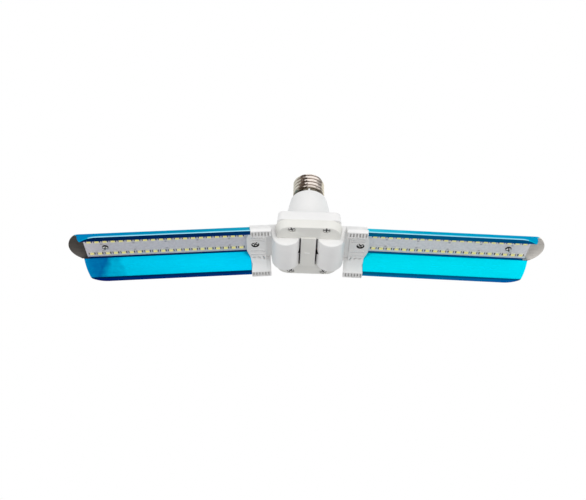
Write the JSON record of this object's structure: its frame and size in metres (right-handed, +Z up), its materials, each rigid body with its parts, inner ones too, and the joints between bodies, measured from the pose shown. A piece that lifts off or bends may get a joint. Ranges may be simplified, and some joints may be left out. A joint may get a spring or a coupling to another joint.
{
  "type": "deformable garage light",
  "caption": "Foldable LED garage light: hinged blue aluminium leaves with LED strips on a white hub with an E27 screw cap.",
  "frame": {"origin": "on the screw cap's axis, where the metal shell meets the plastic cone", "axes": "+Z up along the cap's axis into the lampholder, +X along the right leaf, +Y away from the viewer of the picture"},
  "size_m": [0.3742, 0.058, 0.0959],
  "materials": {
    "nickel": "nickel plate, rolled",
    "insulator": "glossy black",
    "brass": "plain",
    "steel": "zinc plate",
    "white_plastic": "satin moulded",
    "driver_laminate": "solder resist",
    "capacitor_sleeve": "shrink sleeve",
    "choke_wire": "enamelled copper",
    "chip_black": "moulded epoxy",
    "capacitor_film": "dipped",
    "resistor_body": "lacquered",
    "lead_sleeve": "pvc sleeve",
    "blue_anodised": "anodised, satin",
    "board_aluminium": "white-grey resist",
    "led_yellow": "phosphor"
  },
  "bodies": {
    "hub": {"upper_housing": "white_plastic", "screw_shell": "nickel", "cap_insulator": "insulator", "centre_contact": "brass", "shell_rivet": "steel", "hinge_cover": "white_plastic", "cover_screws": "steel", "driver_board": "driver_laminate", "bulk_capacitor": "capacitor_sleeve", "choke": "choke_wire", "bridge_rectifier": "chip_black", "driver_chip": "chip_black", "film_capacitor": "capacitor_film", "fuse_resistor": "resistor_body", "cap_leads": "lead_sleeve", "supply_leads": "lead_sleeve", "left_hinge_pin": "steel", "right_hinge_pin": "steel"},
    "left_arm": {"left_washers": "steel", "left_knuckle": "white_plastic", "left_end_cover": "white_plastic", "left_cover_screw": "steel", "left_heat_sink": "blue_anodised", "left_led_board": "board_aluminium", "left_leds": "led_yellow", "left_resistors": "chip_black", "left_board_screw": "steel", "left_arm_leads": "lead_sleeve"},
    "right_arm": {"right_washers": "steel", "right_knuckle": "white_plastic", "right_end_cover": "white_plastic", "right_cover_screw": "steel", "right_heat_sink": "blue_anodised", "right_led_board": "board_aluminium", "right_leds": "led_yellow", "right_resistors": "chip_black", "right_board_screw": "steel", "right_arm_leads": "lead_sleeve"}
  },
  "joints": [
    {"name": "left_hinge", "type": "hinge", "parent": "hub", "child": "left_arm", "pos_m": [-0.0175, 0, -0.05], "axis": [0, -1, 0], "range_deg": [-5.6, 84.4]},
    {"name": "right_hinge", "type": "hinge", "parent": "hub", "child": "right_arm", "pos_m": [0.0175, 0, -0.05], "axis": [0, 1, 0], "range_deg": [-1.3, 88.7]}
  ]
}
